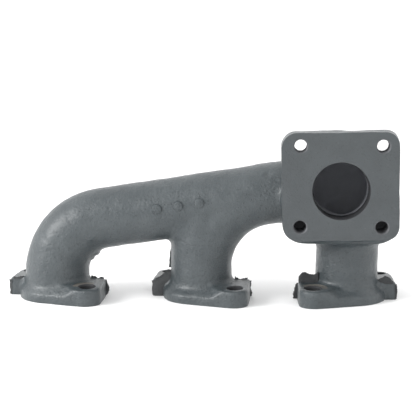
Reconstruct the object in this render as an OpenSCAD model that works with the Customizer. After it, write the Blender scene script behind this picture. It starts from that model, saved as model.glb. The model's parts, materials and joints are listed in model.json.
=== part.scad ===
// Exhaust manifold for a three-cylinder engine: one iron casting, drawn as its named regions.
// The regions butt face to face, so together they make the casting with no overlap and no gap.
// Frame: the origin is the centre of the middle port on the mounting plane, +X runs along the
// collector towards the outlet, +Y points away from the outlet's face, and +Z away from the engine.

/* [Ports] */
// Distance between neighbouring ports
port_pitch = 84; // [80:1:90]
// Radius of a port, through its flange
port_r = 13.5; // [13.2:0.1:14]
// Radius of the gas passage in the runners
gas_r = 13; // [12:0.25:13]
// Outer radius of the front and rear runners
runner_r = 17.7; // [17.5:0.1:18]
// Outer radius of the middle runner
middle_runner_r = 17.4; // [17:0.1:17.5]
// Radius of the fillet round each runner's foot
foot_fillet = 3.5; // [2:0.5:3.5]

/* [Port flanges] */
// Thickness of a port flange
flange_t = 10.5; // [9:0.5:12]
// Radius of the round boss that a runner stands on
boss_r = 22.2; // [22:0.1:23]
// Radius of the metal round a stud hole
lug_r = 8.4; // [8:0.1:9]
// Radius of a stud hole
stud_hole_r = 4.5; // [4.2:0.1:5]
// Distance of both stud holes from the port's axis, along the manifold
stud_x = 20; // [19:0.5:21]
// Distance of one stud hole in front of the port's axis, and of the other behind it
stud_y = 20.5; // [20:0.1:24]
// Slope of the shoulder in front of a runner, in degrees
shoulder_slope = 37; // [25:1:40]

/* [Collector] */
// Height of the collector's axis above the middle port
collector_z = 54.7; // [52:0.1:56]
// Rise of the collector towards the outlet, in degrees
collector_rise = 8.7; // [6:0.1:9]
// Outer radius of the collector and of the elbow that leads into it
collector_r = 17.6; // [17.6:0.1:17.9]
// Radius of the gas passage in the collector
collector_gas_r = 13.2; // [13:0.1:13.4]
// Bend radius of the front elbow, on its centreline
elbow_bend_r = 32; // [26:0.5:32]
// Bend radius of the middle runner's sweep into the collector, on its centreline
sweep_bend_r = 42; // [36:0.5:44]

/* [Outlet] */
// Radius of the outlet port, through its flange
outlet_r = 15.75; // [15.5:0.05:16]
// Radius of the gas passage behind the outlet port
outlet_gas_r = 15.25; // [14:0.25:15.25]
// Distance of the outlet's axis in front of the rear port's axis, along the manifold
outlet_offset = 5.5; // [5:0.1:7]
// Width of the outlet flange
outlet_w = 63.8; // [60:0.2:66]
// Height of the outlet flange
outlet_h = 60.6; // [60:0.2:64]
// Thickness of the outlet flange
outlet_t = 10; // [9:0.5:11]
// Radius of the outlet flange's corners
outlet_corner_r = 9; // [8:0.5:10]
// Distance between the tapped holes, both ways
tapped_pitch = 44.8; // [44:0.1:46]
// Radius of a tapped hole before its thread
tapped_r = 3.4; // [3.3:0.05:3.5]
// Distance of the outlet flange's front face in front of the ports' axes
outlet_face_y = 30; // [29.5:0.25:31]

/* [Casting details] */
// Radius of a foundry pip
pip_r = 2.6; // [2:0.1:3]
// Height of a foundry pip above the collector
pip_h = 1; // [0.6:0.1:1.2]
// Height of the broken ingate's stub above its lug
stub_h = 5; // [3:0.5:6]

/* [Hidden] */
$fn = 96;

iron = [0.36, 0.39, 0.4];
iron_dark = [0.22, 0.24, 0.25];
iron_light = [0.45, 0.48, 0.49];

// A cutter runs this far past the face that it opens.
past = 1;

// The outer side of a lug, from the port's axis
lug_side = stud_x + lug_r;

// The straight edge from boss to lug crosses their rounds, this far inside the line that would
// touch them both.
touch_inset = 0.03;

// The shoulder starts this far in front of a runner, and ends this far beyond the port's axis.
shoulder_gap = 1.5;
shoulder_end = 6;

// The lugs of the front and middle flanges stop at the mould's parting plane, and the rear
// flange's lugs stop a little in front of it.
parting_y = -1;
rear_parting_y = -5.5;

// A bend takes a vertical runner over into the rising collector.
turn = 90 - collector_rise;
// Heights where the vertical part of the front runner and of the middle runner end
front_bend_z = collector_height(-port_pitch + bend_reach(elbow_bend_r)) - bend_rise(elbow_bend_r);
middle_bend_z = collector_height(bend_reach(sweep_bend_r)) - bend_rise(sweep_bend_r);

// The sweep is this much slimmer than the upright part that it leaves.
sweep_inset = 0.3;

// Stations along the collector's axis, measured from the point above the middle port
elbow_end_s = (-port_pitch + bend_reach(elbow_bend_r)) / cos(collector_rise);
tee_start_s = -24;
tee_end_s = 42;
chamber_s = 58;

// The rear runner ends where the outlet chamber begins, and the chamber ends in a dome round
// the point where the collector's axis meets the rear port's.
chamber_z = 33;
dome_r = 18.2;
dome_gas_r = 13.6;
dome_z = collector_height(port_pitch);

// The outlet's axis crosses the collector's, and the tapped holes are centred a little above it.
outlet_x = port_pitch - outlet_offset;
outlet_z = collector_height(outlet_x);
tapped_lift = 2.4;
tapped_z = outlet_z + tapped_lift;
outlet_back_y = -outlet_face_y + outlet_t;
neck_r = 21;
stud_boss_r = 8;
neck_end_y = -6;
stud_boss_depth = 14;
tapped_depth = 15;

// Foundry pips stand in a row on the collector's front, a little above its axis.
pip_stations = [-24, -12, 0];
pip_lift = 3;

// The broken ingate stands on the rear flange's front lug, up against the parting plane.
stub_w = 7;
stub_t = 3;

// A fin of flash, and how far it stays clear of the flange's lower and upper faces
fin_t = 1;
fin_depth = 2.5;
fin_low = 0.5;
fin_gap = 1;

function collector_height(x) = collector_z + x * tan(collector_rise);
function bend_reach(r) = r * (1 - cos(turn));
function bend_rise(r) = r * sin(turn);

// Point where a line that touches two circles on their right, seen from the first towards
// the second, leaves the circle at `own`.
function touch_point(first, r1, second, r2, own, own_r) =
    let (
        step = second - first,
        heading = atan2(step[1], step[0]),
        lean = acos((r1 - r2) / norm(step))
    )
    own + own_r * [cos(heading - lean), sin(heading - lean)];

// ---- shared shapes ----

// A round bar or a tube, standing on the plane z = low
module tube(outer, inner, low, high) {
    translate([0, 0, low])
        linear_extrude(high - low)
            difference() {
                circle(r = outer);
                circle(r = inner);
            }
}

// A bar along the collector's axis between two stations
module collector_bar(r, start, end) {
    translate([0, 0, collector_z])
        rotate([0, turn, 0])
            translate([0, 0, start])
                cylinder(r = r, h = end - start);
}

// A tube along the collector's axis between two stations
module collector_tube(start, end) {
    translate([0, 0, collector_z])
        rotate([0, turn, 0])
            tube(collector_r, collector_gas_r, start, end);
}

// A round bar that starts upwards at the origin and bends over towards +X. A hollow one
// has the radius of its passage in `inner`.
module bend(bend_r, outer, inner = 0) {
    translate([bend_r, 0, 0])
        rotate([90, 0, 0])
            rotate([0, 0, 180 - turn])
                rotate_extrude(angle = turn)
                    translate([bend_r, 0])
                        difference() {
                            circle(r = outer);
                            if (inner > 0) circle(r = inner);
                        }
}

// A runner's foot: a tube with a fillet that spreads onto the flange
module runner_foot(outer, high) {
    rotate_extrude()
        difference() {
            translate([gas_r, flange_t])
                square([outer + foot_fillet - gas_r, high - flange_t]);
            translate([outer, flange_t + foot_fillet])
                square([foot_fillet + past, high - flange_t]);
            translate([outer + foot_fillet, flange_t + foot_fillet])
                circle(r = foot_fillet);
        }
}

// ---- port flanges ----

// Half of a port flange's outline: the lug in front of the port, on the +X side. Its far
// edge is at y = stop.
module lug_outline(stop) {
    stud = [stud_x, -stud_y];
    boss = boss_r - touch_inset;
    lug = lug_r - touch_inset;
    leaves_boss = touch_point([0, 0], boss, stud, lug, [0, 0], boss);
    meets_lug = touch_point([0, 0], boss, stud, lug, stud, lug);
    polygon([
        [0, 0], leaves_boss, meets_lug, stud, [lug_side, -stud_y], [lug_side, stop], [0, stop]
    ]);
    translate(stud) circle(r = lug_r);
}

// The part of a flange in front of its runner slopes down from the foot to the front edge.
module shoulder() {
    translate([-boss_r - past, -runner_r - shoulder_gap, flange_t])
        rotate([shoulder_slope, 0, 0])
            translate([0, -boss_r, 0])
                cube([boss_r + past + shoulder_end, boss_r, boss_r]);
}

// One port flange about its own port: side is 1 with the front lug on +X and -1 on -X.
module port_flange(side, stop) {
    mirror([side < 0 ? 1 : 0, 0, 0])
        difference() {
            linear_extrude(flange_t)
                difference() {
                    union() {
                        circle(r = boss_r);
                        lug_outline(stop);
                        rotate(180) lug_outline(-stop);
                    }
                    circle(r = port_r);
                    translate([stud_x, -stud_y]) circle(r = stud_hole_r);
                    translate([-stud_x, stud_y]) circle(r = stud_hole_r);
                }
            shoulder();
        }
}

module front_port_flange() {
    color(iron)
        translate([-port_pitch, 0, 0])
            port_flange(1, parting_y);
}

module middle_port_flange() {
    color(iron)
        port_flange(1, parting_y);
}

module rear_port_flange() {
    color(iron)
        translate([port_pitch, 0, 0])
            port_flange(-1, rear_parting_y);
}

// ---- runners ----

module front_runner() {
    color(iron)
        translate([-port_pitch, 0, 0])
            runner_foot(runner_r, front_bend_z);
}

module middle_runner() {
    color(iron)
        runner_foot(middle_runner_r, middle_bend_z);
}

// The middle runner stays upright on its left side and sweeps into the collector on its right.
module middle_sweep() {
    color(iron)
        difference() {
            union() {
                tube(middle_runner_r, gas_r, middle_bend_z, collector_z);
                translate([0, 0, middle_bend_z])
                    bend(sweep_bend_r, middle_runner_r - sweep_inset);
            }
            middle_passage();
            collector_bar(collector_r, 2 * tee_start_s, 2 * tee_end_s);
        }
}

// The gas passage from the middle port into the collector
module middle_passage() {
    cylinder(r = gas_r, h = collector_z);
    translate([0, 0, middle_bend_z])
        bend(sweep_bend_r, gas_r - sweep_inset);
}

module rear_runner() {
    color(iron)
        translate([port_pitch, 0, 0])
            runner_foot(runner_r, chamber_z);
}

// ---- collector ----

module front_elbow() {
    color(iron)
        translate([-port_pitch, 0, front_bend_z])
            bend(elbow_bend_r, collector_r, collector_gas_r);
}

module front_collector() {
    color(iron)
        collector_tube(elbow_end_s, tee_start_s);
}

module middle_collector() {
    color(iron)
        difference() {
            collector_tube(tee_start_s, tee_end_s);
            middle_passage();
        }
}

module rear_collector() {
    color(iron)
        collector_tube(tee_end_s, chamber_s);
}

// ---- outlet ----

// A domed post over the rear port
module dome(r, low) {
    translate([port_pitch, 0, 0])
        rotate_extrude()
            intersection() {
                union() {
                    translate([0, dome_z]) circle(r = r);
                    translate([0, low]) square([r, dome_z - low]);
                }
                translate([0, low]) square([r, dome_z + r - low]);
            }
}

module outlet_chamber() {
    collector_end_s = port_pitch / cos(collector_rise);
    color(iron)
        difference() {
            union() {
                dome(dome_r, chamber_z);
                collector_bar(collector_r, chamber_s, collector_end_s);
            }
            dome(dome_gas_r, chamber_z - past);
            collector_bar(collector_gas_r, chamber_s - past, collector_end_s);
            outlet_bar(outlet_gas_r, 0);
        }
}

// A bar along the outlet's axis, from the flange's front face back to y
module outlet_bar(r, y, from = -outlet_face_y - past) {
    translate([outlet_x, from, outlet_z])
        rotate([-90, 0, 0])
            cylinder(r = r, h = y - from);
}

// The neck is a saddle between the flange's back and the round of the collector.
module outlet_neck() {
    color(iron)
        difference() {
            outlet_bar(neck_r, neck_end_y, outlet_back_y);
            outlet_bar(outlet_gas_r, 0);
            dome(dome_r, chamber_z - neck_r);
            collector_bar(collector_r, tee_end_s, port_pitch / cos(collector_rise));
        }
}

module outlet_outline() {
    square([outlet_w - 2 * outlet_corner_r, outlet_h], center = true);
    square([outlet_w, outlet_h - 2 * outlet_corner_r], center = true);
    for (x = [-1, 1], y = [-1, 1])
        translate([x * (outlet_w / 2 - outlet_corner_r), y * (outlet_h / 2 - outlet_corner_r)])
            circle(r = outlet_corner_r);
}

module outlet_flange() {
    color(iron_light)
        translate([outlet_x, outlet_back_y, tapped_z])
            rotate([90, 0, 0])
                linear_extrude(outlet_t)
                    difference() {
                        outlet_outline();
                        translate([0, outlet_z - tapped_z]) circle(r = outlet_r);
                        for (x = [-1, 1], y = [-1, 1])
                            translate([x, y] * tapped_pitch / 2) circle(r = tapped_r);
                    }
}

// The lower tapped holes run on into bosses behind the flange and end there.
module stud_boss(side) {
    translate([outlet_x + side * tapped_pitch / 2, outlet_back_y, tapped_z - tapped_pitch / 2])
        rotate([-90, 0, 0])
            difference() {
                cylinder(r = stud_boss_r, h = stud_boss_depth);
                translate([0, 0, -past])
                    cylinder(r = tapped_r, h = tapped_depth - outlet_t + past);
            }
}

module left_stud_boss() {
    color(iron)
        difference() {
            stud_boss(-1);
            collector_bar(collector_r, tee_end_s - neck_r, port_pitch);
            outlet_bar(neck_r, 0);
        }
}

module right_stud_boss() {
    color(iron)
        difference() {
            stud_boss(1);
            dome(dome_r, chamber_z - past);
            translate([port_pitch, 0, 0]) cylinder(r = runner_r, h = chamber_z);
            outlet_bar(neck_r, 0);
        }
}

// ---- casting details ----

// Three plain pips in a row on the collector, in place of a foundry's mark
module foundry_pips() {
    color(iron_light)
        difference() {
            for (s = pip_stations)
                translate([s, 0, collector_height(s) + pip_lift])
                    rotate([90, 0, 0])
                        cylinder(r = pip_r, h = collector_r + pip_h);
            collector_bar(collector_r, 2 * tee_start_s, tee_end_s);
        }
}

// What is left of the ingate on the rear flange's front lug
module ingate_stub() {
    color(iron_dark)
        translate([port_pitch - lug_side + fin_t, rear_parting_y - stub_t, flange_t])
            cube([stub_w, stub_t, stub_h]);
}

// A thin fin of flash on the outer side of a flange's front lug, whose far edge is at y = stop
module flash_fin(stop) {
    translate([lug_side, stop - fin_depth, fin_low])
        cube([fin_t, fin_depth, flange_t - fin_low - fin_gap]);
}

// Fins of flash where the mould's halves met, one on each flange
module parting_flash() {
    color(iron_dark) {
        translate([-port_pitch, 0, 0]) flash_fin(parting_y);
        flash_fin(parting_y);
        translate([port_pitch, 0, 0]) mirror([1, 0, 0]) flash_fin(rear_parting_y);
    }
}

front_port_flange();
middle_port_flange();
rear_port_flange();
front_runner();
middle_runner();
rear_runner();
middle_sweep();
front_elbow();
front_collector();
middle_collector();
rear_collector();
outlet_chamber();
outlet_neck();
outlet_flange();
left_stud_boss();
right_stud_boss();
foundry_pips();
ingate_stub();
parting_flash();
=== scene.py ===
"""Looks of a cast-iron exhaust manifold.

The whole casting, with the lumps of its skin, is first worked out as one signed distance field, so
that every corner has the round of a sand mould. The field is meshed, faced and drilled, and then
parted into one piece for each CAD node. Lengths in the field are millimetres, and Blender's are
metres.
"""
import json
import math

import bpy
import numpy as np
import openvdb
from mathutils import Matrix, Vector


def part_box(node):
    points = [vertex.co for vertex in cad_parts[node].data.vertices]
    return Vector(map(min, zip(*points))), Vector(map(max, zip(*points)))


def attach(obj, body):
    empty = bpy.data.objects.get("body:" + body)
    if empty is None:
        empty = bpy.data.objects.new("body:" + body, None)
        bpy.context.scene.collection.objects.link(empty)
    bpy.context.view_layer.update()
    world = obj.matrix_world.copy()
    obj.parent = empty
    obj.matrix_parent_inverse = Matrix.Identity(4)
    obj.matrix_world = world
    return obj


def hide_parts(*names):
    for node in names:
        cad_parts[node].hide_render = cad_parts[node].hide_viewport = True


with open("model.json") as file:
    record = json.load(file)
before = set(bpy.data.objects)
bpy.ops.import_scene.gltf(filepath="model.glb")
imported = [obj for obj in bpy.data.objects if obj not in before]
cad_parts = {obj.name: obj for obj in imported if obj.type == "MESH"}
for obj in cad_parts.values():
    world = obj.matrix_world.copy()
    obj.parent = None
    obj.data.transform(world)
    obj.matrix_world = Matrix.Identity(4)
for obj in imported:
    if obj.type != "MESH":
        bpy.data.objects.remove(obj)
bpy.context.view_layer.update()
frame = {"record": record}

MM = 0.001

# ---------------------------------------------------------------- places, from the frame


def mount(name):
    """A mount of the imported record."""
    return next(m for m in frame["record"]["mounts"] if m["name"] == name)


def place(name):
    """Where a mount is, in millimetres."""
    return np.array(mount(name)["pos_m"]) / MM


def node_box(node):
    """Lowest and highest corner of a CAD node, in millimetres."""
    return [np.array(corner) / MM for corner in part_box(node)]


def middle(node):
    """The middle of a CAD node's box, in millimetres."""
    low, high = node_box(node)
    return (low + high) / 2


PORTS = {
    "front": {"at": place("front_port"), "side": 1, "stop": -1.0, "shoulder": 1.0},
    "middle": {"at": place("middle_port"), "side": 1, "stop": -1.0, "shoulder": 0.75},
    "rear": {"at": place("rear_port"), "side": -1, "stop": -5.5, "shoulder": 0.85},
}
PORT_R = mount("front_port")["dims"]["r_mm"]
STUD_HOLE_R = mount("front_port_studs")["dims"]["hole_r_mm"]
OUTLET = place("outlet_port")
OUTLET_R = mount("outlet_port")["dims"]["r_mm"]
TAPPED = place("outlet_bolts")
TAPPED_PITCH = mount("outlet_bolts")["dims"]["spacing_x_mm"]
TAPPED_R = mount("outlet_bolts")["dims"]["hole_r_mm"]

FLANGE_T = node_box("front_port_flange")[1][2]
OUTLET_FRONT = node_box("outlet_flange")[0][1]
OUTLET_BACK = node_box("outlet_flange")[1][1]

# The collector's axis runs through the middles of its two plain lengths. ACROSS is square to it.
AXIS_A, AXIS_B = middle("front_collector"), middle("rear_collector")
RISE = math.atan2(AXIS_B[2] - AXIS_A[2], AXIS_B[0] - AXIS_A[0])
ACROSS = np.array([-math.sin(RISE), 0, math.cos(RISE)])
TURN = math.pi / 2 - RISE


def axis_at(x):
    """The point of the collector's axis over x."""
    return np.array([x, 0, AXIS_A[2] + (x - AXIS_A[0]) * math.tan(RISE)])


# ---------------------------------------------------------------- shape of the casting, mm

STEP = 0.8  # spacing of the field's grid
GRID_LOW, GRID_HIGH = (-116, -34, -4), (116, 34, 104)
FAR = 30.0  # distance given where no shape has been worked out
REACH = 12.0  # how far past a shape its distance is worked out
SKIN_DEPTH = 1.0  # a face this near to the outside is skin, and any other is gas passage
MACHINING = 1.6  # iron left on a face until it is machined

LOG_R = 17.5
ELBOW_FOOT_R = 18.5
MIDDLE_R = 17.5
DOME_R = 18.2
GAS_R = 13.0
COLLECTOR_GAS_R = 13.2
OUTLET_GAS_R = 15.25
ELBOW_R = 32.5
SWEEP_R = 43.0

BOSS_R = 22.2
LUG_R = 8.4
STUD_X = 20.0
STUD_Y = math.sqrt((mount("front_port_studs")["dims"]["pcd_mm"] / 2) ** 2 - STUD_X ** 2)
SIDE_DRAFT = 0.04
TOP_DRAFT = 0.04
LEDGE_T = 4.8  # height of a port flange's edge between its lugs
LEDGE_R = 0.6  # round on the edge of a port flange
SEAT_R = 8.2
SEAT_CUT = 0.4
PAD_RIDGE = np.array([0.80, 0.60])  # direction in which a lug's pad climbs
PAD_START = (6.2, 6.9)  # where the pad's slope begins, in from the stud
PAD_SLOPE = 1.05

OUTLET_W, OUTLET_H = 64.0, 59.8
OUTLET_SHIFT = -0.4
OUTLET_TURN = math.radians(1.0)
OUTLET_DRAFT = 0.04
OUTLET_CORNERS = 7.5, 8.5  # radius of the corners towards +X and towards -X
OUTLET_BACK_R = 1.2
NECK_R = 20.5
NECK_START, NECK_STOP = -24, -8
STUD_BLOCK_LOW = np.array([51.0, -24.0, 36.2])
STUD_BLOCK_HIGH = np.array([106.0, 4.0, 58.0])
STUD_BLOCK_CORNER = 7.5
STUD_BLOCK_BACK_R = 2.5

FILLET_R = {"dome": 3.0, "sweep": 1.5, "runner": 3.5, "neck": 4.0, "stud block": 7.0,
            "outlet flange": 5.0, "port flange": 2.2, "passage": 2.0}

# The small pits and swellings that the mould left on the skin, as (place, radius, depth).
SCARS = (((38.0, -12.2, 73.5), 1.7, 0.8), ((-66.0, -14.5, 41.0), 2.2, -0.7),
         ((-60.5, -15.8, 37.5), 2.6, -0.9), ((-70.5, -13.5, 33.5), 1.8, -0.6),
         ((-60.4, 0.5, 24.8), 1.8, -1.9), ((-62.6, -1.0, 21.8), 1.4, -1.1),
         ((-60.6, -3.0, 24.8), 2.2, -0.9), ((31.0, -16.9, 66.5), 3.5, -0.5))

# Lumps of the skin and of the gas passage, as (size, height, seed).
SKIN_LUMPS = (17.0, 0.22, 3), (6.0, 0.16, 4), (2.6, 0.09, 5)
PASSAGE_LUMPS = (7.0, 0.12, 8), (2.6, 0.06, 9)

THREAD_PITCH = 1.25
THREAD_R = 3.9
TAP_LEAD = 2  # how far outside the face a tapped hole's cutter starts
TAP_RUN_OUT = 3  # plain length at the hole's end
TAP_POINT = 1.6
COUNTERSINK = 0.8

PIP_STATIONS = (-24.0, -12.0, 0.0)
PIP_LIFT = 3.0
PIP_R = 2.6
PIP_H = 1.0

FLASH_AHEAD, FLASH_BEHIND = 0.6, 0.45  # flash's distance from a port's parting line
LEAST_REACH = 0.15


class Grid:
    """A regular grid of points round the casting, with windows onto parts of it."""

    def __init__(self, low, high, step):
        self.low, self.step = np.array(low, float), step
        self.axes = [np.arange(a, b + step, step, dtype=np.float32) for a, b in zip(low, high)]
        self.shape = tuple(len(a) for a in self.axes)

    def empty(self):
        """A field with nothing in it."""
        return np.full(self.shape, FAR, np.float32)

    def window(self, low, high, margin=REACH):
        """The slices of a box of the grid, and its coordinates ready to broadcast."""
        cut = []
        for a, first, last in zip(self.axes, low, high):
            i = np.searchsorted(a, first - margin)
            j = np.searchsorted(a, last + margin)
            cut.append(slice(int(i), int(max(j, i + 1))))
        x, y, z = (a[c] for a, c in zip(self.axes, cut))
        return tuple(cut), x[:, None, None], y[None, :, None], z[None, None, :]


def round_union(a, b, r):
    """Union of two distances, with a fillet of radius r where their surfaces meet.

    The fillet fades away where the two surfaces run side by side, so it adds no swelling there.
    """
    out = np.minimum(a, b)
    near = np.nonzero((a < r) & (b < r))
    if not len(near[0]):
        return out
    cut = tuple(slice(max(i.min() - 2, 0), i.max() + 3) for i in near)
    u, v = a[cut], b[cut]
    lean = sum(p * q for p, q in zip(np.gradient(u, STEP), np.gradient(v, STEP)))
    fillet = (r * np.clip(2 * (1 - lean), 0.01, 1)).astype(np.float32)
    hollow = np.hypot(np.maximum(fillet - u, 0), np.maximum(fillet - v, 0))
    out[cut] = np.maximum(fillet, np.minimum(u, v)) - hollow
    return out


def round_meet(a, b, r):
    """Intersection of two distances, with a round of radius r on the edge between them."""
    if r <= 0:
        return np.maximum(a, b)
    u, v = np.maximum(r + a, 0), np.maximum(r + b, 0)
    return np.minimum(np.float32(-r), np.maximum(a, b)) + np.hypot(u, v)


def tube(grid, path, radii):
    """Distance to a round bar along a path of points, whose radius may change on the way."""
    out = grid.empty()
    radii = np.broadcast_to(radii, len(path))
    for a, b, ra, rb in zip(path[:-1], path[1:], radii[:-1], radii[1:]):
        a, b = np.array(a, float), np.array(b, float)
        widest = max(ra, rb)
        cut, x, y, z = grid.window(np.minimum(a, b) - widest, np.maximum(a, b) + widest)
        d = b - a
        t = ((x - a[0]) * d[0] + (y - a[1]) * d[1] + (z - a[2]) * d[2]) / (d @ d)
        t = np.clip(t, 0, 1).astype(np.float32)
        gap = np.sqrt((x - a[0] - t * d[0]) ** 2 + (y - a[1] - t * d[1]) ** 2
                      + (z - a[2] - t * d[2]) ** 2) - (ra + (rb - ra) * t)
        np.minimum(out[cut], gap, out=out[cut])
    return out


def bend(start, radius, turn, steps=18):
    """Points of a bend that leaves `start` upwards and turns over towards +X."""
    angles = np.linspace(0, turn, steps)
    return [start + radius * np.array([1 - math.cos(a), 0, math.sin(a)]) for a in angles]


def bend_start(x, radius):
    """Where a bend over x begins, if it is to end on the collector's axis."""
    end = axis_at(x + radius * (1 - math.cos(TURN)))
    return np.array([x, 0, end[2] - radius * math.sin(TURN)])


def arc(centre, radius, start, end, steps=16):
    """Points of an arc between two angles in degrees."""
    angles = np.radians(np.linspace(start, end, steps))
    return [(centre[0] + radius * math.cos(a), centre[1] + radius * math.sin(a)) for a in angles]


def rectangle_distance(past_x, past_z):
    """Signed distance to a rectangle, from how far a point is past its sides each way."""
    outside = np.hypot(np.maximum(past_x, 0), np.maximum(past_z, 0))
    return outside + np.minimum(np.maximum(past_x, past_z), 0)


def polygon_distance(x, y, points):
    """Signed distance in the plane from (x, y) to a closed polygon."""
    x, y = np.broadcast_arrays(x, y)
    best = np.full(x.shape, 1e9)
    inside = np.zeros(x.shape, bool)
    for (ax, ay), (bx, by) in zip(points, points[1:] + points[:1]):
        dx, dy = bx - ax, by - ay
        t = np.clip(((x - ax) * dx + (y - ay) * dy) / max(dx * dx + dy * dy, 1e-9), 0, 1)
        best = np.minimum(best, (x - ax - t * dx) ** 2 + (y - ay - t * dy) ** 2)
        if ay != by:
            inside ^= ((ay > y) != (by > y)) & (x < ax + dx * (y - ay) / dy)
    return np.where(inside, -1, 1) * np.sqrt(best)


# ---------------------------------------------------------------- port flanges


def tangent_angle(stud, lug_r):
    """Direction in degrees, from either centre, of the line that touches boss and lug."""
    heading = math.atan2(stud[1], stud[0])
    lean = math.acos((BOSS_R - lug_r) / math.hypot(*stud))
    return math.degrees(heading - lean)


def lug_half(stud, stop):
    """Outline from the lug's straight side, round the lug and the boss, to the far side."""
    touch = tangent_angle(stud, LUG_R)
    side_x = stud[0] + LUG_R
    far = -180 - math.degrees(math.asin(stop / BOSS_R))
    slope = SIDE_DRAFT * (stop - stud[1])
    return ([(side_x, stop)] + arc((stud[0] - slope, stud[1]), LUG_R, 0, touch)
            + arc((0, 0), BOSS_R, touch, far, 40))


def flange_outline(stop):
    """A port flange's outline about its port, with the front lug on +X."""
    front = lug_half((STUD_X, -STUD_Y), stop)
    back = lug_half((STUD_X, -STUD_Y), -stop)
    return front + [(-x, -y) for x, y in back]


def lug_pad(x, y, stud, stop):
    """Height of a thick lug, which ends in a slope along a line that leans over the port."""
    start = np.array([stud[0] - PAD_START[0], stud[1] - PAD_START[1]])
    inward = (x - start[0]) * PAD_RIDGE[0] + (y - start[1]) * PAD_RIDGE[1]
    top = FLANGE_T - TOP_DRAFT * (stop - y)
    return top + np.minimum(inward, 0) * PAD_SLOPE


def flange_top(x, y, edge, slope, stop):
    """Height of a port flange's upper face over (x, y), measured about the port."""
    ledge = LEDGE_T + slope * np.clip(-edge, 0, 5.5)
    front = np.where(y < stop + 1, lug_pad(x, y, (STUD_X, -STUD_Y), stop), 0)
    back = np.where(y > stop - 1, lug_pad(-x, -y, (STUD_X, -STUD_Y), -stop), 0)
    return np.maximum(ledge, np.maximum(front, back))


def port_flange(grid, port):
    """Distance to one port flange, with iron left below for machining."""
    out = grid.empty()
    at, side, stop = port["at"], port["side"], port["stop"]
    cut, x, y, z = grid.window(at + [-30, -31, -2], at + [30, 31, 12], 6)
    px, py = (x - at[0])[:, :, 0] * side, (y - at[1])[:, :, 0]
    edge = polygon_distance(px, py, flange_outline(stop))
    top = flange_top(px, py, edge, port["shoulder"], stop)
    steep = np.hypot(*np.gradient(top, grid.step))
    above = (z - top[:, :, None]) / np.sqrt(1 + np.minimum(steep, 2) ** 2)[:, :, None]
    below = -MACHINING - z
    out[cut] = np.maximum(round_meet(edge[:, :, None], above, LEDGE_R), below)
    return out


# ---------------------------------------------------------------- outlet


def outlet_flange(grid):
    """Distance to the square flange, whose sides spread towards its back."""
    out = grid.empty()
    centre = np.array([OUTLET[0] + OUTLET_SHIFT, 0, TAPPED[2]])
    low = centre + [-35, OUTLET_FRONT - MACHINING, -34]
    high = centre + [35, OUTLET_BACK, 34]
    cut, x, y, z = grid.window(low, high, 8)
    spread = OUTLET_DRAFT * (y - OUTLET_FRONT)
    c, n = math.cos(OUTLET_TURN), math.sin(OUTLET_TURN)
    px = (x - centre[0]) * c + (z - centre[2]) * n
    pz = (z - centre[2]) * c - (x - centre[0]) * n
    corner = np.where(px > 0, *OUTLET_CORNERS)
    qx = np.abs(px) - OUTLET_W / 2 - spread + corner
    qz = np.abs(pz) - OUTLET_H / 2 - spread + corner
    edge = rectangle_distance(qx, qz) - corner
    plate = round_meet(edge, y - OUTLET_BACK, OUTLET_BACK_R)
    out[cut] = np.maximum(plate, OUTLET_FRONT - MACHINING - y)
    return out


def stud_block(grid):
    """Distance to the block behind the outlet flange that holds the lower tapped holes."""
    out = grid.empty()
    low, high = STUD_BLOCK_LOW, STUD_BLOCK_HIGH
    cut, x, y, z = grid.window(low, high)
    half = (high - low) / 2 - STUD_BLOCK_CORNER
    qx = np.abs(x - (low[0] + high[0]) / 2) - half[0]
    qz = np.abs(z - (low[2] + high[2]) / 2) - half[2]
    edge = rectangle_distance(qx, qz) - STUD_BLOCK_CORNER
    out[cut] = np.maximum(round_meet(edge, y - high[1], STUD_BLOCK_BACK_R), low[1] - y)
    return out


# ---------------------------------------------------------------- the whole casting


def upright(port, top, low=-8.0):
    """Path of the straight part of a runner."""
    at = port["at"]
    return [at + [0, 0, low], np.array([at[0], 0, top])]


def outlet_neck(grid):
    """Distance to the round bar between the outlet flange and the collector."""
    out = grid.empty()
    cut, x, y, z = grid.window([50, -24, 40], [110, 0, 95], 4)
    round_neck = np.hypot(x - OUTLET[0], z - OUTLET[2]) - NECK_R
    out[cut] = np.maximum(np.maximum(round_neck, y - NECK_STOP), NECK_START - y)
    return out


def scars(grid, field):
    """Press the scars into a field."""
    for at, r, depth in SCARS:
        cut, x, y, z = grid.window(np.array(at) - r * 2, np.array(at) + r * 2, 0)
        gap = (x - at[0]) ** 2 + (y - at[1]) ** 2 + (z - at[2]) ** 2
        field[cut] += depth * np.exp(-gap / r ** 2)


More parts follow.
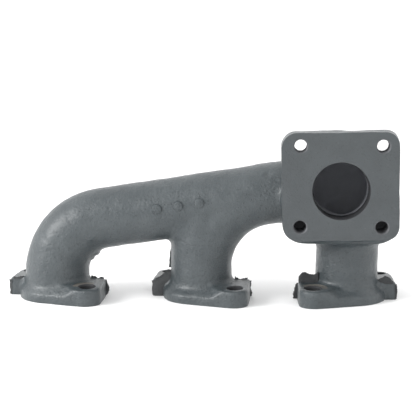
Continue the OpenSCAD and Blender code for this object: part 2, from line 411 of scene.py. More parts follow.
def casting_field(grid):
    """Distance to the outside of the casting and distance to its gas passage."""
    front, mid, rear = PORTS["front"], PORTS["middle"], PORTS["rear"]
    outer = bend_start(front["at"][0] - 0.5, ELBOW_R)
    sweep = bend(bend_start(mid["at"][0], SWEEP_R), SWEEP_R, TURN)
    dome = axis_at(rear["at"][0])

    elbow = [np.array([outer[0], 0, 3])] + bend(outer, ELBOW_R, TURN)
    taper = np.interp(np.arange(len(elbow)), [0, 3, len(elbow) - 1],
                      [ELBOW_FOOT_R, ELBOW_FOOT_R - 0.2, LOG_R])
    body = tube(grid, elbow + [dome], list(taper) + [LOG_R])
    post = tube(grid, [rear["at"] + [0, 0, 3], dome], DOME_R - 0.4)
    post = np.minimum(post, tube(grid, [dome, dome + [0, 0, 0.1]], DOME_R))
    body = round_union(body, post, FILLET_R["dome"])
    runner = tube(grid, [mid["at"] + [0, 0, 3], axis_at(0)], MIDDLE_R)
    runner = round_union(runner, tube(grid, sweep, MIDDLE_R), FILLET_R["sweep"])
    body = round_union(body, runner, FILLET_R["runner"])

    body = round_union(body, outlet_neck(grid), FILLET_R["neck"])
    body = round_union(body, stud_block(grid), FILLET_R["stud block"])
    body = round_union(body, outlet_flange(grid), FILLET_R["outlet flange"])
    for port in PORTS.values():
        body = round_union(body, port_flange(grid, port), FILLET_R["port flange"])
    body = soften(body)
    scars(grid, body)
    for cell, height, seed in SKIN_LUMPS:
        body += height * lumps(grid, cell, seed)

    inner = bend_start(front["at"][0], ELBOW_R - 0.5)
    passage = tube(grid, [front["at"] + [0, 0, -8]] + bend(inner, ELBOW_R - 0.5, TURN) + [dome],
                   COLLECTOR_GAS_R)
    for path, r in ((upright(mid, axis_at(0)[2]), GAS_R), (sweep, GAS_R),
                    (upright(rear, dome[2]), GAS_R),
                    ([[OUTLET[0], -40, OUTLET[2]], [OUTLET[0], 0, OUTLET[2]]], OUTLET_GAS_R)):
        passage = round_union(passage, tube(grid, path, r), FILLET_R["passage"])
    passage += sum(height * lumps(grid, cell, seed) for cell, height, seed in PASSAGE_LUMPS)
    return body, passage


def lumps(grid, cell, seed):
    """Smooth random values from -1 to 1 over the grid, about `cell` apart."""
    weights = []
    for axis in grid.axes:
        at = (axis - axis[0]) / cell
        i = at.astype(int)
        share = (at - i) ** 2 * (3 - 2 * (at - i))
        weight = np.zeros((len(axis), i[-1] + 2), np.float32)
        weight[np.arange(len(axis)), i] = 1 - share
        weight[np.arange(len(axis)), i + 1] = share
        weights.append(weight)
    values = np.random.default_rng(seed).uniform(-1, 1, [w.shape[1] for w in weights])
    return np.einsum("xi,yj,zk,ijk->xyz", *weights, values.astype(np.float32), optimize=True)


def soften(field):
    """Round every edge a little, as sand does."""
    for axis in range(3):
        ahead, behind = np.roll(field, -1, axis), np.roll(field, 1, axis)
        field = (ahead + 2 * field + behind) / 4
    return field


# ---------------------------------------------------------------- meshes


def mesh_from_field(name, grid, field):
    """The surface where a distance field is zero."""
    band = 3 * grid.step
    volume = openvdb.FloatGrid()
    volume.background = band
    volume.copyFromArray(np.clip(field, -band, band))
    points, quads = volume.convertToQuads(isovalue=0.0)
    return mesh_from_arrays(name, points * grid.step + grid.low, quads)


def mesh_from_arrays(name, points, faces):
    """A mesh in metres from points in millimetres and faces of one length."""
    mesh = bpy.data.meshes.new(name)
    sides = faces.shape[1]
    mesh.vertices.add(len(points))
    mesh.vertices.foreach_set("co", (points * MM).astype(np.float32).ravel())
    mesh.loops.add(faces.size)
    mesh.loops.foreach_set("vertex_index", faces.astype(np.int32).ravel())
    mesh.polygons.add(len(faces))
    mesh.polygons.foreach_set("loop_start", np.arange(0, faces.size, sides, dtype=np.int32))
    mesh.update(calc_edges=True)
    return mesh


def read(items, what, width=3):
    """One attribute of a mesh's vertices, faces or loops as an array."""
    values = np.empty(len(items) * width, np.float32)
    items.foreach_get(what, values)
    return values.reshape(-1, width) if width > 1 else values


def sample(grid, field, points):
    """A field's values at points in millimetres."""
    at = (points - grid.low) / grid.step
    i = np.clip(at.astype(int), 0, np.array(grid.shape) - 2)
    f = np.clip(at - i, 0, 1)
    value = 0
    for corner in np.ndindex(2, 2, 2):
        share = np.prod(np.where(corner, f, 1 - f), axis=1)
        value = value + share * field[tuple((i + corner).T)]
    return value


# Kinds of surface: each is the material index of its faces.
KINDS = range(8)
SKIN, PASSAGE, FACED, SEAT, BORE, THREAD, JOINT, BROKEN = KINDS
SHARP = math.radians(35)


def slopes(field):
    """The gradient of a distance field."""
    return np.gradient(field, STEP)


def smooth_corners(mesh, grid, skin_slopes, passage_slopes):
    """Give the cast faces the normals of the whole casting, so that no joint between the pieces
    shows, and leave the machined edges sharp."""
    mesh.polygons.foreach_set("use_smooth", np.ones(len(mesh.polygons), bool))
    mesh.set_sharp_from_angle(angle=SHARP)
    normals = read(mesh.corner_normals, "vector")
    points = read(mesh.vertices, "co") / MM
    corner = np.empty(len(mesh.loops), np.int32)
    mesh.loops.foreach_get("vertex_index", corner)
    kind = np.empty(len(mesh.polygons), np.int32)
    mesh.polygons.foreach_get("material_index", kind)
    sides = np.empty(len(mesh.polygons), np.int32)
    mesh.polygons.foreach_get("loop_total", sides)
    kind = np.repeat(kind, sides)
    for wanted, field_slopes, sign in ((SKIN, skin_slopes, 1), (PASSAGE, passage_slopes, -1)):
        use = kind == wanted
        ids, back = np.unique(corner[use], return_inverse=True)
        if not len(ids):
            continue
        n = np.stack([sample(grid, part, points[ids]) for part in field_slopes], 1)
        n *= sign / np.maximum(np.linalg.norm(n, axis=1, keepdims=True), 1e-6)
        normals[use] = n[back]
    mesh.normals_split_custom_set(normals.tolist())


def boolean(mesh, cutter, operation, name):
    """A new mesh: `mesh` less `cutter`, or the part of it within `cutter`."""
    whole, tool = bpy.data.objects.new("whole", mesh), bpy.data.objects.new("tool", cutter)
    for o in (whole, tool):
        bpy.context.scene.collection.objects.link(o)
    step = whole.modifiers.new("cut", "BOOLEAN")
    step.operation, step.object, step.solver = operation, tool, "MANIFOLD"
    step.material_mode = "INDEX"
    graph = bpy.context.evaluated_depsgraph_get()
    result = bpy.data.meshes.new_from_object(whole.evaluated_get(graph), depsgraph=graph)
    result.name = name
    for o in (whole, tool):
        bpy.data.objects.remove(o)
    return result


def wall_faces(rings, steps):
    """The faces between neighbouring rings of points, and the cap over the first ring."""
    faces = []
    for k in range(rings - 1):
        for i in range(steps):
            j = (i + 1) % steps
            faces.append([k * steps + i, k * steps + j, (k + 1) * steps + j, (k + 1) * steps + i])
    faces.append(list(range(steps))[::-1])
    return faces


def lathe(profile, start, axis, steps=64):
    """A closed turned solid. The profile is a list of (distance along the axis, radius)."""
    axis = Vector(axis).normalized()
    turn = axis.to_track_quat("Z", "Y").to_matrix()
    angles = np.linspace(0, 2 * math.pi, steps, endpoint=False)
    points = []
    for z, r in profile:
        points += [turn @ Vector((r * math.cos(a), r * math.sin(a), z)) + Vector(start)
                   for a in angles]
    faces = wall_faces(len(profile), steps)
    faces.append([(len(profile) - 1) * steps + i for i in range(steps)])
    return points, faces


# Faces of a box whose corners run through low and high X, then Y, then Z, with Z the quickest.
BOX_FACES = [[0, 1, 3, 2], [4, 6, 7, 5], [0, 4, 5, 1], [2, 3, 7, 6], [0, 2, 6, 4], [1, 5, 7, 3]]


def box_solid(low, high):
    """A closed box."""
    points = [Vector((x, y, z)) for x in (low[0], high[0]) for y in (low[1], high[1])
              for z in (low[2], high[2])]
    return points, BOX_FACES


def open_slots(mesh):
    """Give a mesh an empty material slot for each kind of surface."""
    for _ in KINDS:
        mesh.materials.append(None)


def cutter_mesh(solids, material):
    """One mesh of separate closed solids, all with one material index."""
    points, faces = [], []
    for solid_points, solid_faces in solids:
        faces += [[i + len(points) for i in f] for f in solid_faces]
        points += [p * MM for p in solid_points]
    mesh = bpy.data.meshes.new("cutter")
    mesh.from_pydata(points, [], faces)
    open_slots(mesh)
    mesh.polygons.foreach_set("material_index", [material] * len(faces))
    mesh.update()
    return mesh


def stud_places():
    """Every stud hole of the port flanges."""
    for port in PORTS.values():
        at, side = port["at"], port["side"]
        yield at + [side * STUD_X, -STUD_Y, 0]
        yield at + [-side * STUD_X, STUD_Y, 0]


def tapped_places():
    """Every tapped hole of the outlet flange, with its depth."""
    half = TAPPED_PITCH / 2
    for sx in (-1, 1):
        for sz, depth in ((1, 20), (-1, 15)):
            yield TAPPED + [sx * half, 0, sz * half], depth


def machining():
    """All that the machine shop takes off the faces."""
    return [box_solid((-140, -60, -10), (140, 60, 0)),
            box_solid((20, -60, 25), (140, OUTLET_FRONT, 120))]


def seats():
    """The seats of the nuts, round the stud holes."""
    low = FLANGE_T - SEAT_CUT
    return [lathe([(low, SEAT_R), (low + 3, SEAT_R + 0.2)], at, (0, 0, 1))
            for at in stud_places()]


def bores():
    """The holes: stud holes, ports and the outlet."""
    solids = []
    for at in stud_places():
        solids.append(lathe([(-6, STUD_HOLE_R), (FLANGE_T - 1.2, STUD_HOLE_R),
                             (FLANGE_T + 3, STUD_HOLE_R + 4)], at, (0, 0, 1), 48))
    for port in PORTS.values():
        solids.append(lathe([(-3, PORT_R + 3.5), (0.5, PORT_R), (FLANGE_T, PORT_R)], port["at"],
                            (0, 0, 1), 96))
    depth = OUTLET_BACK - OUTLET_FRONT
    solids.append(lathe([(-3, OUTLET_R + 3.25), (0.25, OUTLET_R), (depth, OUTLET_R)], OUTLET,
                        (0, 1, 0), 96))
    return solids


def tap(at, depth, steps=36, rows=10):
    """A tapped hole along +Y: a countersink, a helical thread and a drill's point."""
    count = int(depth / THREAD_PITCH * rows)
    tall = THREAD_R - TAPPED_R
    points = []
    for k in range(count + 1):
        y = -TAP_LEAD + (depth + TAP_LEAD) * k / count
        for i in range(steps):
            turn = i / steps
            wave = abs(((y / THREAD_PITCH - turn) % 1) * 2 - 1)
            fade = min(max((depth - TAP_RUN_OUT - y) / THREAD_PITCH, 0), 1)
            r = TAPPED_R + tall * wave * fade
            r = max(r, THREAD_R + 0.15 - max(y, -1.5)) if y < COUNTERSINK else r
            a = 2 * math.pi * turn
            points.append(Vector(at) + Vector((r * math.cos(a), y, -r * math.sin(a))))
    faces = wall_faces(count + 1, steps)
    end = len(points)
    points.append(Vector(at) + Vector((0, depth + TAP_POINT, 0)))
    faces += [[count * steps + i, count * steps + (i + 1) % steps, end] for i in range(steps)]
    return points, faces


# ---------------------------------------------------------------- flash, ingate and pips


def ribbon(root, out, thick, reach):
    """A ragged strip along the points of `root`, that sticks out by `reach` at each.

    Known fault: the faces turn inwards where `out`, `thick` and the run of `root` are right-handed.
    """
    out, thick = np.array(out, float), np.array(thick, float)
    points, faces = [], []
    for p, far in zip(root, reach):
        p = np.array(p, float)
        points += [Vector(p - thick / 2), Vector(p + thick / 2),
                   Vector(p + out * far + thick * 0.3), Vector(p + out * far - thick * 0.3)]
    n = len(root)
    for i in range(n - 1):
        for j in range(4):
            k = (j + 1) % 4
            faces.append([4 * i + j, 4 * i + k, 4 * i + 4 + k, 4 * i + 4 + j])
    faces += [[0, 3, 2, 1], [4 * n - 4, 4 * n - 3, 4 * n - 2, 4 * n - 1]]
    return points, faces


def line(a, b, spacing=0.45):
    """Points from a to b, about `spacing` apart."""
    a, b = np.array(a, float), np.array(b, float)
    count = max(int(np.linalg.norm(b - a) / spacing), 2)
    return [a + (b - a) * i / count for i in range(count + 1)]


def ragged(rng, count, knots, rough):
    """Reaches that follow evenly spaced knots and are broken off unevenly."""
    coarse = np.interp(np.linspace(0, count / 5, count), np.arange(count // 5 + 2),
                       rng.uniform(-1, 1, count // 5 + 2))
    along = np.linspace(0, len(knots) - 1, count)
    values = np.interp(along, np.arange(len(knots)), knots)
    return np.maximum(values + rough * (coarse + rng.uniform(-0.5, 0.5, count)), LEAST_REACH)


def flash_and_shade_strip(rng, port, a, b, out, knots, rough, thick=(0, 1.0, 0)):
    """One strip of flash about a port, or the dark plate that paints shade on a lug. It starts
    inside the iron, which is taken away later.
    """
    flip = np.array([port["side"], 1, 1])
    root = [port["at"] + p * flip for p in line(a, b)]
    reach = ragged(rng, len(root), knots, rough)
    return ribbon(root, np.array(out) * flip, np.array(thick) * flip, reach)


def flash():
    """Every strip of flash at the parting planes of the three flanges, and a thin dark plate over
    the face of the middle flange's back lug, which is painted shade.
    """
    rng = np.random.default_rng(11)
    edge = STUD_X + LUG_R - 0.9
    sides = {"front": (1.6, 2.6, 2.2, 1.4), "middle": (1.5, 1.9, 1.6, 2.0),
             "rear": (3.6, 3.2, 2.6, 1.5)}
    webs = {"front": (1.2, 1.4, 2.2, 3.0), "middle": (1.4, 2.6, 4.4, 6.6, 6.0),
            "rear": (1.6, 4.0, 4.8, 3.6, 2.0)}
    strips = []
    for name, port in PORTS.items():
        front, back = port["stop"] - FLASH_AHEAD, port["stop"] + FLASH_BEHIND
        strips.append(flash_and_shade_strip(rng, port, (edge, front, 0.4), (edge, front, 9.6), (1, 0, 0),
                                  sides[name], 0.5))
        strips.append(flash_and_shade_strip(rng, port, (19.5, front, 9.4), (edge - 0.6, front, 9.4),
                                  (0, 0, 1), (2.2, 1.6, 1.9), 0.55))
        strips.append(flash_and_shade_strip(rng, port, (1 - edge, back, 9.2), (-17.0, back, 9.2),
                                  (0, 0, 1), webs[name], 0.5))
        strips.append(flash_and_shade_strip(rng, port, (-edge, back, 0.4), (-edge, back, 9.0),
                                  (-1, 0, 0), (1.2, 1.5, 1.3), 0.3))
    # The plate below covers the front face of the middle flange's back lug: a thin sheet of dark
    # broken iron that is painted shade on that face.
    mid = PORTS["middle"]
    back = mid["stop"] + FLASH_BEHIND
    strips.append(flash_and_shade_strip(rng, mid, (-28.3, back - 0.9, 0.4), (-17.0, back - 0.9, 0.4),
                              (0, 0, 1), (9.5, 9.5, 10.5, 13.5, 14.5), 0.25, (0, 0.8, 0)))
    strips.append(flash_and_shade_strip(rng, mid, (-16.9, back, 17.0), (-16.9, back, 32), (-1, 0, 0),
                              (1.9, 1.3, 0.9), 0.25))
    return strips


def ingate():
    """What is left of the ingate on the rear flange's front lug."""
    rng = np.random.default_rng(21)
    port = PORTS["rear"]
    at, y = port["at"], port["stop"] - 1.6
    root = [at + [-x, y, 9.3] for x in np.arange(16.6, 28.0, 0.4)]
    reach = ragged(rng, len(root), (6.6, 5.2, 5.6, 6.8, 6.4, 4.0), 0.45)
    return ribbon(root, (0, 0, 1), (0, 3.2, 0), reach)


def pips():
    """The row of plain pips on the collector. Each starts inside the iron."""
    front = -math.sqrt(LOG_R ** 2 - PIP_LIFT ** 2)
    profile = [(front - PIP_H, 0.8 * PIP_R), (front - 0.8 * PIP_H, 0.95 * PIP_R),
               (front - 0.4 * PIP_H, PIP_R), (front + 0.6, PIP_R + 0.35), (front + 1.5, PIP_R + 0.4)]
    return [lathe(profile, axis_at(x) + [0, 0, PIP_LIFT], (0, 1, 0), 48) for x in PIP_STATIONS]


# ---------------------------------------------------------------- pieces of the casting

FOOT_R = 21.8  # a port flange gives way to its runner within this radius
FLANGE_REGION_TOP = 14.0
COLLECTOR_CUT_R = 19.0
BOSS_INSET = 13  # from the outlet's middle to the inner side of a stud boss
BOSS_END = -6.0
NECK_END = -13.0


def along_slab(start, end):
    """A large box between two planes square to the collector's axis, over x = start and end."""
    points = []
    for x in (start, end):
        foot = Vector(axis_at(x))
        for sy in (-1, 1):
            for sz in (-1, 1):
                points.append(foot + Vector((0, 90 * sy, 0)) + Vector(ACROSS) * (130 * sz))
    return points, BOX_FACES


def foot_region(port, top, wide_from=None):
    """The solid round a runner above its flange. It widens over `wide_from`, if that is given."""
    profile = [(FLANGE_T, FOOT_R), (top, FOOT_R)]
    if wide_from:
        wide = 2 * FOOT_R
        profile[1:] = [(wide_from, FOOT_R), (wide_from + 0.2, wide), (top, wide)]
    return lathe(profile, port["at"], (0, 0, 1))


def station(node_a, node_b):
    """Where two neighbouring lengths of the collector meet, as the x of the axis point."""
    low, high = node_box(node_b)[0][0], node_box(node_a)[1][0]
    return (low + high) / 2


def regions():
    """For each CAD node, the solids that cut its piece from what is left of the casting."""
    front, mid, rear = PORTS["front"], PORTS["middle"], PORTS["rear"]
    yield "outlet_flange", [box_solid((40, -60, 20), (140, OUTLET_BACK, 130))]
    yield "front_runner", [foot_region(front, node_box("front_runner")[1][2])]
    yield "middle_runner", [foot_region(mid, node_box("middle_runner")[1][2])]
    yield "rear_runner", [foot_region(rear, node_box("rear_runner")[1][2], 13.6)]
    for name, port in PORTS.items():
        at = port["at"]
        yield name + "_port_flange", [box_solid(at + [-41, -50, -5],
                                                at + [41, 50, FLANGE_REGION_TOP])]
    elbow_end = station("front_elbow", "front_collector")
    tee_start = station("front_collector", "middle_collector")
    tee_end = station("middle_collector", "rear_collector")
    chamber = station("rear_collector", "outlet_chamber")
    yield "front_elbow", [along_slab(-200, elbow_end)]
    yield "front_collector", [along_slab(-200, tee_start)]
    low, high = axis_at(tee_start), axis_at(tee_end)
    length = float(np.linalg.norm(high - low))
    yield "middle_collector", [lathe([(-1, COLLECTOR_CUT_R), (length, COLLECTOR_CUT_R)], low,
                                     tuple(high - low), 96)]
    yield "middle_sweep", [along_slab(-200, tee_end)]
    yield "left_stud_boss", [box_solid((40, OUTLET_BACK - 1, 30),
                                       (OUTLET[0] - BOSS_INSET, BOSS_END, 55))]
    yield "right_stud_boss", [box_solid((OUTLET[0] + BOSS_INSET, OUTLET_BACK - 1, 30),
                                        (130, BOSS_END, 55))]
    yield "outlet_neck", [box_solid((40, OUTLET_BACK - 1, 25), (130, NECK_END, 120))]
    yield "rear_collector", [along_slab(-200, chamber)]
    yield "outlet_chamber", None


# ---------------------------------------------------------------- materials

TILE = 1 / MM  # noise scale for features one millimetre across


def new_group(name, inputs, outputs):
    """A node group with named number inputs and named outputs, and its two end nodes."""
    group = bpy.data.node_groups.new(name, "ShaderNodeTree")
    for label, start in inputs:
        socket = group.interface.new_socket(label, in_out="INPUT", socket_type="NodeSocketFloat")
        socket.default_value = start
    for label, kind in outputs:
        group.interface.new_socket(label, in_out="OUTPUT", socket_type=kind)
    return group, group.nodes.new("NodeGroupInput"), group.nodes.new("NodeGroupOutput")


def add_noise(group, place_node, size, detail, roughness=0.55):
    """A noise whose features are `size` millimetres across."""
    node = group.nodes.new("ShaderNodeTexNoise")
    node.inputs["Scale"].default_value = TILE / size
    node.inputs["Detail"].default_value = detail
    node.inputs["Roughness"].default_value = roughness
    group.links.new(place_node.outputs["Object"], node.inputs["Vector"])
    return node.outputs["Fac"]


def spread(group, value, low, high, to_low=0.0, to_high=1.0):
    """Stretch the part of a value between low and high over a new range."""
    node = group.nodes.new("ShaderNodeMapRange")
    for label, number in (("From Min", low), ("From Max", high),
                          ("To Min", to_low), ("To Max", to_high)):
        node.inputs[label].default_value = number
    group.links.new(value, node.inputs["Value"])
    return node.outputs["Result"]


def combine(group, operation, a, b):
    """Arithmetic on two values, each a number or another node's output."""
    node = group.nodes.new("ShaderNodeMath")
    node.operation = operation
    for socket, value in zip(node.inputs, (a, b)):
        if isinstance(value, (int, float)):
            socket.default_value = value
        else:
            group.links.new(value, socket)
    return node.outputs["Value"]


def sand_group():
    """What a sand mould leaves: a grain to bump the normal with, and masks of its tone. The pits'
    mask also darkens the painted skin, as painted shade in the pits.
    """
    group, own, out = new_group(
        "sand", [("Depth mm", 0.5), ("Fine share", 0.45), ("Pit share", 0.35)],
        [("Normal", "NodeSocketVector"), ("Grain", "NodeSocketFloat"),
         ("Patches", "NodeSocketFloat"), ("Pits", "NodeSocketFloat")])
    at = group.nodes.new("ShaderNodeTexCoord")
    fine = add_noise(group, at, 0.55, 2.0)
    coarse = add_noise(group, at, 1.7, 3.0)
    patches = add_noise(group, at, 11.0, 4.0, 0.6)
    pits = spread(group, add_noise(group, at, 1.1, 1.0), 0.30, 0.36, 1.0, 0.0)
    fine_height = combine(group, "MULTIPLY", fine, own.outputs["Fine share"])
    pit_height = combine(group, "MULTIPLY", pits, own.outputs["Pit share"])
    height = combine(group, "SUBTRACT", combine(group, "ADD", fine_height, coarse), pit_height)
    bump = group.nodes.new("ShaderNodeBump")
    bump.inputs["Strength"].default_value = 1.0
    group.links.new(combine(group, "MULTIPLY", own.outputs["Depth mm"], MM),
                    bump.inputs["Distance"])
    group.links.new(height, bump.inputs["Height"])
    for value, label in ((bump.outputs["Normal"], "Normal"), (fine, "Grain"),
                         (spread(group, patches, 0.35, 0.65), "Patches"), (pits, "Pits")):
        group.links.new(value, out.inputs[label])
    return group


def wear_group():
    """Where the paint is thin: a soft mask over the skin, and finer specks within it."""
    group, own, out = new_group("wear", [("Amount", 1.0)], [("Specks", "NodeSocketFloat")])
    at = group.nodes.new("ShaderNodeTexCoord")
    broad = spread(group, add_noise(group, at, 7.0, 5.0, 0.65), 0.52, 0.72)
    specks = spread(group, add_noise(group, at, 0.9, 2.0), 0.60, 0.70)
    worn = combine(group, "MULTIPLY", combine(group, "MULTIPLY", broad, specks),
                   own.outputs["Amount"])
    group.links.new(worn, out.inputs["Specks"])
    return group


def new_material(name, groups):
    """A material with a Principled BSDF and one node for each shared group."""
    material = bpy.data.materials.new(name)
    material.use_nodes = True
    tree = material.node_tree
    used = {}
    for label, group in groups.items():
        node = tree.nodes.new("ShaderNodeGroup")
        node.node_tree = group
        used[label] = node
    return material, tree, tree.nodes["Principled BSDF"], used


def blend(tree, mask, a, b):
    """Mix two colours, or a colour and the output of another mix, by a mask."""
    node = tree.nodes.new("ShaderNodeMix")
    node.data_type = "RGBA"
    tree.links.new(mask, node.inputs["Factor"])
    for socket, value in ((node.inputs[6], a), (node.inputs[7], b)):
        if isinstance(value, tuple):
            socket.default_value = (*value, 1)
        else:
            tree.links.new(value, socket)
    return node.outputs[2]


def painted_iron(name, groups, dark, pale, worn, rough, depth, wear_amount):
    """Sand-cast iron under a thin coat of paint."""
    material, tree, bsdf, used = new_material(name, groups)
    sand, wear = used["sand"], used["wear"]
    sand.inputs["Depth mm"].default_value = depth
    wear.inputs["Amount"].default_value = wear_amount
    colour = blend(tree, sand.outputs["Patches"], dark, pale)
    colour = blend(tree, wear.outputs["Specks"], colour, worn)
    # The pits darken the colour as well as the bump: this is painted shade in the pits of the sand.
    painted_pit_shade = spread(tree, sand.outputs["Pits"], 0.0, 1.0, 0.0, 0.35)
    colour = blend(tree, painted_pit_shade, colour, tuple(0.45 * c for c in dark))
    tree.links.new(colour, bsdf.inputs["Base Color"])
    tree.links.new(spread(tree, sand.outputs["Grain"], 0.3, 0.7, *rough), bsdf.inputs["Roughness"])
    tree.links.new(sand.outputs["Normal"], bsdf.inputs["Normal"])
    bsdf.inputs["Coat Weight"].default_value = 0.3
    bsdf.inputs["Coat Roughness"].default_value = 0.3
    return material


def plain_iron(name, groups, dark, pale, rough, metallic=0.0, bump=0.5):
    """Iron without its paint: cut, or inside the gas passage. Some of these colours are painted
    light or painted shade.
    """
    material, tree, bsdf, used = new_material(name, groups)
    sand = used["sand"]
    colour = blend(tree, sand.outputs["Patches"], dark, pale)
    tree.links.new(colour, bsdf.inputs["Base Color"])
    tree.links.new(spread(tree, sand.outputs["Grain"], 0.3, 0.7, *rough), bsdf.inputs["Roughness"])
    height = tree.nodes.new("ShaderNodeBump")
    height.inputs["Strength"].default_value = bump
    height.inputs["Distance"].default_value = 0.15 * MM
    tree.links.new(sand.outputs["Grain"], height.inputs["Height"])
    tree.links.new(height.outputs["Normal"], bsdf.inputs["Normal"])
    bsdf.inputs["Metallic"].default_value = metallic
    return material


def make_materials():
    """One material for each kind of surface, in the order of the face indices."""
    groups = {"sand": sand_group(), "wear": wear_group()}
    skin = painted_iron("painted sand skin", groups, (0.036, 0.046, 0.051), (0.050, 0.061, 0.066),
                        (0.085, 0.09, 0.092), (0.32, 0.48), 0.5, 1.0)
    faced = painted_iron("painted face", groups, (0.036, 0.043, 0.047), (0.042, 0.050, 0.054),
                         (0.11, 0.115, 0.118), (0.42, 0.5), 0.2, 0.4)
    # The gas passage's pale colour is painted light: it makes up for the little light that reaches
    # deep inside, so that the inside renders about as dark as the bores.
    passage = plain_iron("gas passage", groups, (0.165, 0.171, 0.190), (0.18, 0.187, 0.207),
                         (0.7, 0.9))
    seat = plain_iron("nut seat", groups, (0.11, 0.105, 0.095), (0.16, 0.15, 0.135), (0.4, 0.6),
                      0.3)
    # The bores' near-black colour is painted shade: it keeps the walls of the holes, which the
    # outside light reaches, as dark as the shade deep inside.
    bore_painted_shade = plain_iron("bore_painted_shade", groups, (0.02, 0.021, 0.023), (0.026, 0.027, 0.03), (0.6, 0.8), 0.0)
    thread = plain_iron("thread", groups, (0.085, 0.088, 0.094), (0.11, 0.114, 0.122), (0.5, 0.7),
                        0.2)
    broken = plain_iron("broken iron", groups, (0.02, 0.022, 0.024), (0.05, 0.053, 0.055),
                        (0.6, 0.85), 0.0, 1.0)
    return {SKIN: skin, PASSAGE: passage, FACED: seat, SEAT: seat, BORE: bore_painted_shade, THREAD: thread,
            JOINT: passage, BROKEN: broken}, faced


# ---------------------------------------------------------------- building the casting


def add_piece(node, mesh, materials, slot):
    """Put one finished piece of the casting in the scene, in place of its CAD node."""
    kinds = np.empty(len(mesh.polygons), np.int32)
    mesh.polygons.foreach_get("material_index", kinds)
    mesh.materials.clear()
    for kind in KINDS:
        mesh.materials.append(materials[kind])
    mesh.polygons.foreach_set("material_index", kinds)
    mesh.name = "cast_" + node
    piece = bpy.data.objects.new(mesh.name, mesh)
    bpy.context.scene.collection.objects.link(piece)
    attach(piece, "root")
    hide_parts(node)


def cast(grid, body, passage):
    """The casting as it leaves the mould, with its skin and gas passage told apart."""
    casting = mesh_from_field("casting", grid, np.maximum(body, -passage))
    centres = read(casting.polygons, "center") / MM
    outside = sample(grid, body, centres) > -SKIN_DEPTH
    casting.polygons.foreach_set("material_index",
                                 np.where(outside, SKIN, PASSAGE).astype(np.int32))
    open_slots(casting)
    return casting


def machine(casting):
    """The casting after the machine shop: faced, seated for its nuts, bored and tapped."""
    taps = [tap(at, depth) for at, depth in tapped_places()]
    for solids, kind, name in ((machining(), FACED, "faced"), (seats(), SEAT, "seated"),
                               (bores(), BORE, "bored"), (taps, THREAD, "tapped")):
        casting = boolean(casting, cutter_mesh(solids, kind), "DIFFERENCE", name)
    return casting


def add_extras(casting, materials):
    """Put the flash, the ingate stub and the pips in the scene, each cut to the casting."""
    for node, solids, kind, slot in (("parting_flash", flash(), BROKEN, "broken_gate"),
                                     ("ingate_stub", [ingate()], BROKEN, "broken_gate"),
                                     ("foundry_pips", pips(), SKIN, "casting")):
        extra = boolean(cutter_mesh(solids, kind), casting, "DIFFERENCE", node)
        extra.polygons.foreach_set("use_smooth", np.ones(len(extra.polygons), bool))
        extra.set_sharp_from_angle(angle=SHARP)
        add_piece(node, extra, materials, slot)


def add_casting():
    """Work the casting out, part it, and put every piece in the scene."""
    grid = Grid(GRID_LOW, GRID_HIGH, STEP)
    body, passage = casting_field(grid)
    rest = machine(cast(grid, body, passage))
    materials, faced = make_materials()
    add_extras(rest, materials)

    skin_slopes, passage_slopes = slopes(body), slopes(passage)
    for node, region in regions():
        piece = rest
        if region:
            piece = boolean(rest, cutter_mesh(region, JOINT), "INTERSECT", node)
            rest = boolean(rest, cutter_mesh(region, JOINT), "DIFFERENCE", "rest")
        smooth_corners(piece, grid, skin_slopes, passage_slopes)
        slot, own = "casting", materials
        if node == "outlet_flange":
            slot, own = "faced_flange", {**materials, FACED: faced}
        add_piece(node, piece, own, slot)


add_casting()

# ---------------------------------------------------------------- stage

CAMERA_AT = Vector((0.037823, -0.657946, 0.165670))
CAMERA_YAW, CAMERA_PITCH, CAMERA_ROLL = -2.949, 9.789, -0.201
LENS_MM, SENSOR_MM = 100.31, 36.0
KEY_AT, KEY_TARGET = (-0.95, -0.45, 0.55), (0, 0, 0.04)
KEY_SIZE, KEY_POWER = 0.6, 11
SKY_STRENGTH = 1.3


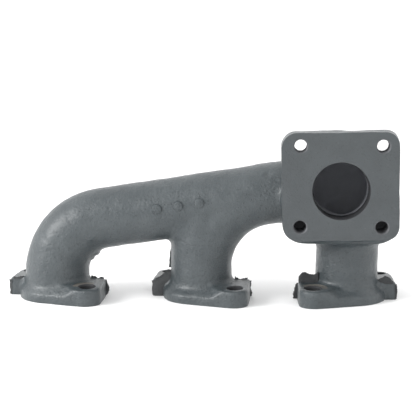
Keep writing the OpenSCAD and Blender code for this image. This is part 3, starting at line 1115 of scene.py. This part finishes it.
def add_camera():
    """The camera. Its yaw, pitch and roll are in degrees from looking level along +Y."""
    yaw, pitch, roll = (math.radians(a) for a in (CAMERA_YAW, CAMERA_PITCH, CAMERA_ROLL))
    ahead = Vector((math.sin(yaw) * math.cos(pitch), math.cos(yaw) * math.cos(pitch),
                    -math.sin(pitch)))
    right = Vector((math.cos(yaw), -math.sin(yaw), 0))
    up = right.cross(ahead)
    rolled_right = right * math.cos(roll) + up * math.sin(roll)
    rolled_up = up * math.cos(roll) - right * math.sin(roll)
    data = bpy.data.cameras.new("camera")
    data.sensor_width = SENSOR_MM
    data.lens = LENS_MM
    data.clip_start = 0.01
    camera = bpy.data.objects.new("camera", data)
    camera.matrix_world = Matrix((rolled_right, rolled_up, -ahead)).transposed().to_4x4()
    camera.location = CAMERA_AT
    bpy.context.scene.collection.objects.link(camera)
    bpy.context.scene.camera = camera


def add_floor():
    """A pale floor that curves up into a backdrop behind the casting."""
    half, behind, curve, steps = 6.0, 1.2, 1.6, 24
    profile = [(-half, 0.0)]
    profile += [(behind + curve * math.sin(a), curve * (1 - math.cos(a)))
                for a in np.linspace(0, math.pi / 2, steps)]
    profile.append((behind + curve, half))
    points = [(x, y, z) for y, z in profile for x in (-half, half)]
    faces = [(2 * i, 2 * i + 1, 2 * i + 3, 2 * i + 2) for i in range(len(profile) - 1)]
    mesh = bpy.data.meshes.new("floor")
    mesh.from_pydata(points, [], faces)
    mesh.polygons.foreach_set("use_smooth", np.ones(len(faces), bool))
    floor = bpy.data.objects.new("floor", mesh)
    bpy.context.scene.collection.objects.link(floor)
    paint = bpy.data.materials.new("floor")
    paint.use_nodes = True
    bsdf = paint.node_tree.nodes["Principled BSDF"]
    bsdf.inputs["Base Color"].default_value = (0.97, 0.97, 0.97, 1)
    bsdf.inputs["Roughness"].default_value = 0.9
    bsdf.inputs["Specular IOR Level"].default_value = 0.1
    mesh.materials.append(paint)


def add_light(name, at, target, size, power):
    """A round area light of `size` metres across and `power` watts, aimed at a target."""
    data = bpy.data.lights.new(name, "AREA")
    data.shape, data.size, data.energy = "DISK", size, power
    light = bpy.data.objects.new(name, data)
    light.location = at
    light.rotation_euler = (Vector(target) - Vector(at)).to_track_quat("-Z", "Y").to_euler()
    bpy.context.scene.collection.objects.link(light)


def add_world():
    """An even white sky."""
    world = bpy.data.worlds.new("world")
    bpy.context.scene.world = world
    world.use_nodes = True
    sky = world.node_tree.nodes["Background"]
    sky.inputs["Color"].default_value = (1, 1, 1, 1)
    sky.inputs["Strength"].default_value = SKY_STRENGTH


add_camera()
add_floor()
add_world()
add_light("key", KEY_AT, KEY_TARGET, KEY_SIZE, KEY_POWER)
bpy.context.scene.view_settings.view_transform = "Standard"
